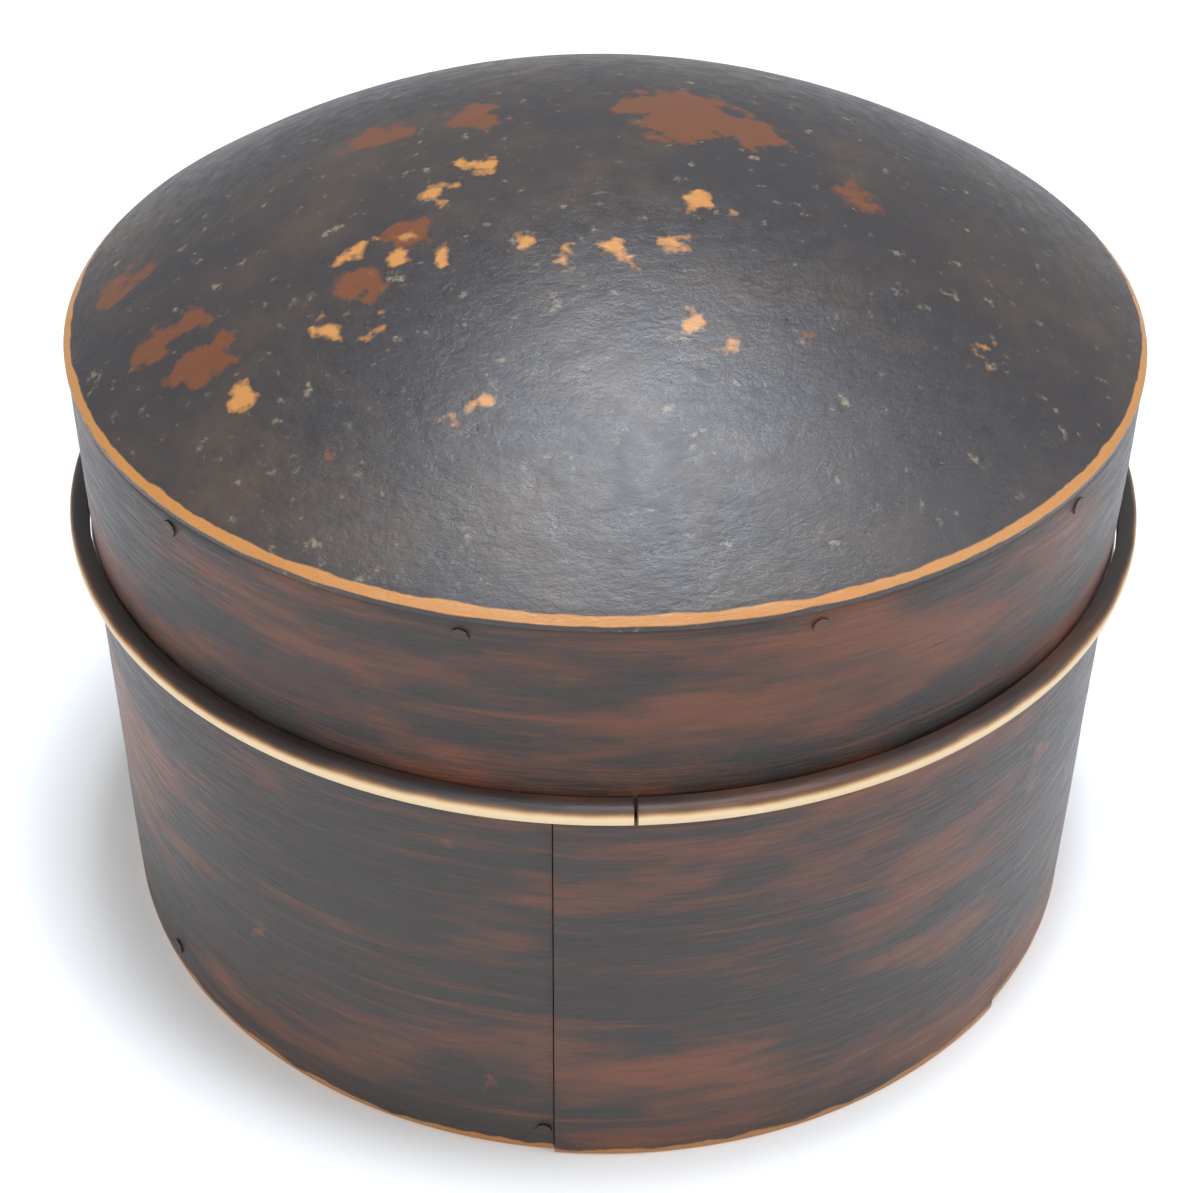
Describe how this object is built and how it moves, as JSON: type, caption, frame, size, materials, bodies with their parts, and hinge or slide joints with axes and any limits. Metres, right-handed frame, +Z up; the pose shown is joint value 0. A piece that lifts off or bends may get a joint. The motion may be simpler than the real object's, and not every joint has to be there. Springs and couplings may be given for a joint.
{
  "type": "round lidded wooden box",
  "caption": "Round wooden box of bent hoops with a shallow domed lid that lifts off a standing neck.",
  "frame": {"origin": "middle of the underside of the body", "axes": "+Z up along the box's axis, front towards -Y, +X to the right"},
  "size_m": [0.15, 0.15, 0.1144],
  "materials": {
    "dark_lacquer": "worn dark lacquer, satin",
    "lacquered_wood": "dark stained wood, worn satin",
    "pale_hoop": "dark lacquer worn through to pale wood",
    "raw_wood": "bare wood, matt"
  },
  "bodies": {
    "box_body": {"base_board": "raw_wood", "body_hoop": "lacquered_wood", "body_front_panel": "lacquered_wood", "neck_hoop": "raw_wood", "base_peg_1": "raw_wood", "base_peg_2": "raw_wood", "base_peg_3": "raw_wood", "base_peg_4": "raw_wood", "base_peg_5": "raw_wood", "base_peg_6": "raw_wood", "base_peg_7": "raw_wood"},
    "lid": {"lid_dome": "dark_lacquer", "lid_band": "lacquered_wood", "lid_rim_hoop": "pale_hoop", "dome_peg_1": "raw_wood", "dome_peg_2": "raw_wood", "dome_peg_3": "raw_wood", "dome_peg_4": "raw_wood", "dome_peg_5": "raw_wood", "dome_peg_6": "raw_wood", "dome_peg_7": "raw_wood", "dome_peg_8": "raw_wood", "dome_peg_9": "raw_wood", "dome_peg_10": "raw_wood", "dome_peg_11": "raw_wood"}
  },
  "joints": [
    {"name": "lid_lift", "type": "slide", "parent": "box_body", "child": "lid", "axis": [0, 0, 1], "range_m": [0, 0.085]}
  ]
}
